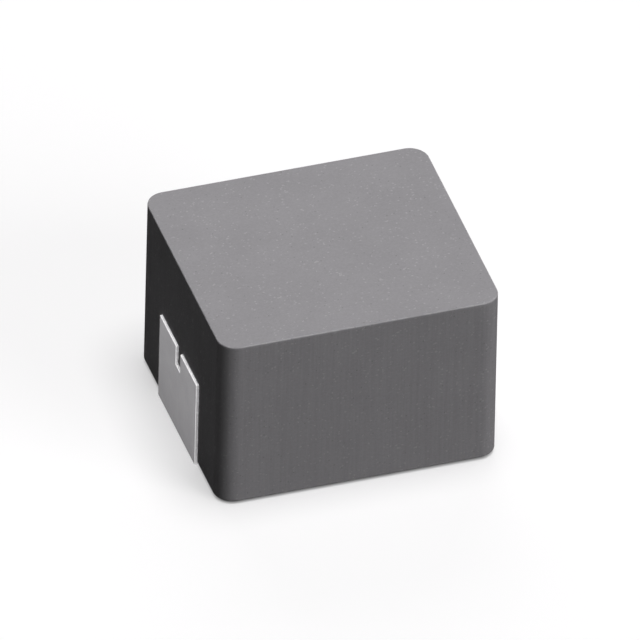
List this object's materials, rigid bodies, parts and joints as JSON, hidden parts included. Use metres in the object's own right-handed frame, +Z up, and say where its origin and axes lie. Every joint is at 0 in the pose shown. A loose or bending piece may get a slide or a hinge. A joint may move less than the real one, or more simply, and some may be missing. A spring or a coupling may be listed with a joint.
{
  "type": "shielded surface-mount inductor",
  "caption": "Surface-mount power inductor: a grey pressed-powder block with rounded upright corners, a notched solder terminal folded under each end, and a flat-wire coil inside.",
  "frame": {"origin": "on the circuit board under the middle of the part, level with the soles of the solder feet", "axes": "+X from the left terminal to the right terminal, +Y across the terminals to the back, +Z up from the circuit board"},
  "size_m": [0.0074, 0.0066, 0.0049],
  "materials": {
    "iron_powder": "pressed iron-powder composite: grey, matt and very fine-grained, with a faint metallic speckle",
    "tinned_copper": "matt tin plating on copper strip, with fine rolling lines and brighter sheared edges",
    "enamelled_copper": "flat copper wire under clear enamel"
  },
  "bodies": {
    "root": {"powder_body": "iron_powder", "winding": "enamelled_copper", "terminal_left": "tinned_copper", "terminal_right": "tinned_copper"}
  },
  "joints": []
}
